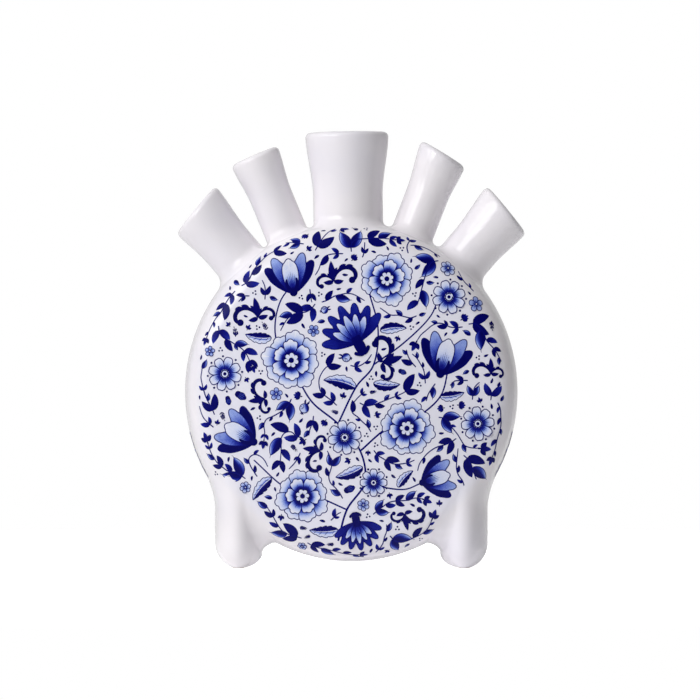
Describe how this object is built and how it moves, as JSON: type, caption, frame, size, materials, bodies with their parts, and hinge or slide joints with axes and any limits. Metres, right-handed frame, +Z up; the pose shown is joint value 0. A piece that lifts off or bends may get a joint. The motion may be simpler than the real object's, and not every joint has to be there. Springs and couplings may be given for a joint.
{
  "type": "tulip vase",
  "caption": "Flat round flask vase on two feet, with a fan of flared flower spouts on its edge, in white glazed earthenware painted with blue flowers.",
  "frame": {"origin": "on the table, midway between the two feet and midway between the front and the back", "axes": "+Z up, +X to the right as seen from the front, +Y from the front face towards the back face"},
  "size_m": [0.1572, 0.056, 0.1977],
  "materials": {
    "painted_glaze": "clear gloss glaze over cobalt blue painting on a white ground",
    "white_glaze": "plain white gloss glaze, bare clay under the feet"
  },
  "bodies": {
    "root": {"shell_front": "painted_glaze", "shell_back": "painted_glaze", "spout_outer_left": "white_glaze", "spout_inner_left": "white_glaze", "spout_centre": "white_glaze", "spout_inner_right": "white_glaze", "spout_outer_right": "white_glaze", "foot_left": "white_glaze", "foot_right": "white_glaze"}
  },
  "joints": []
}
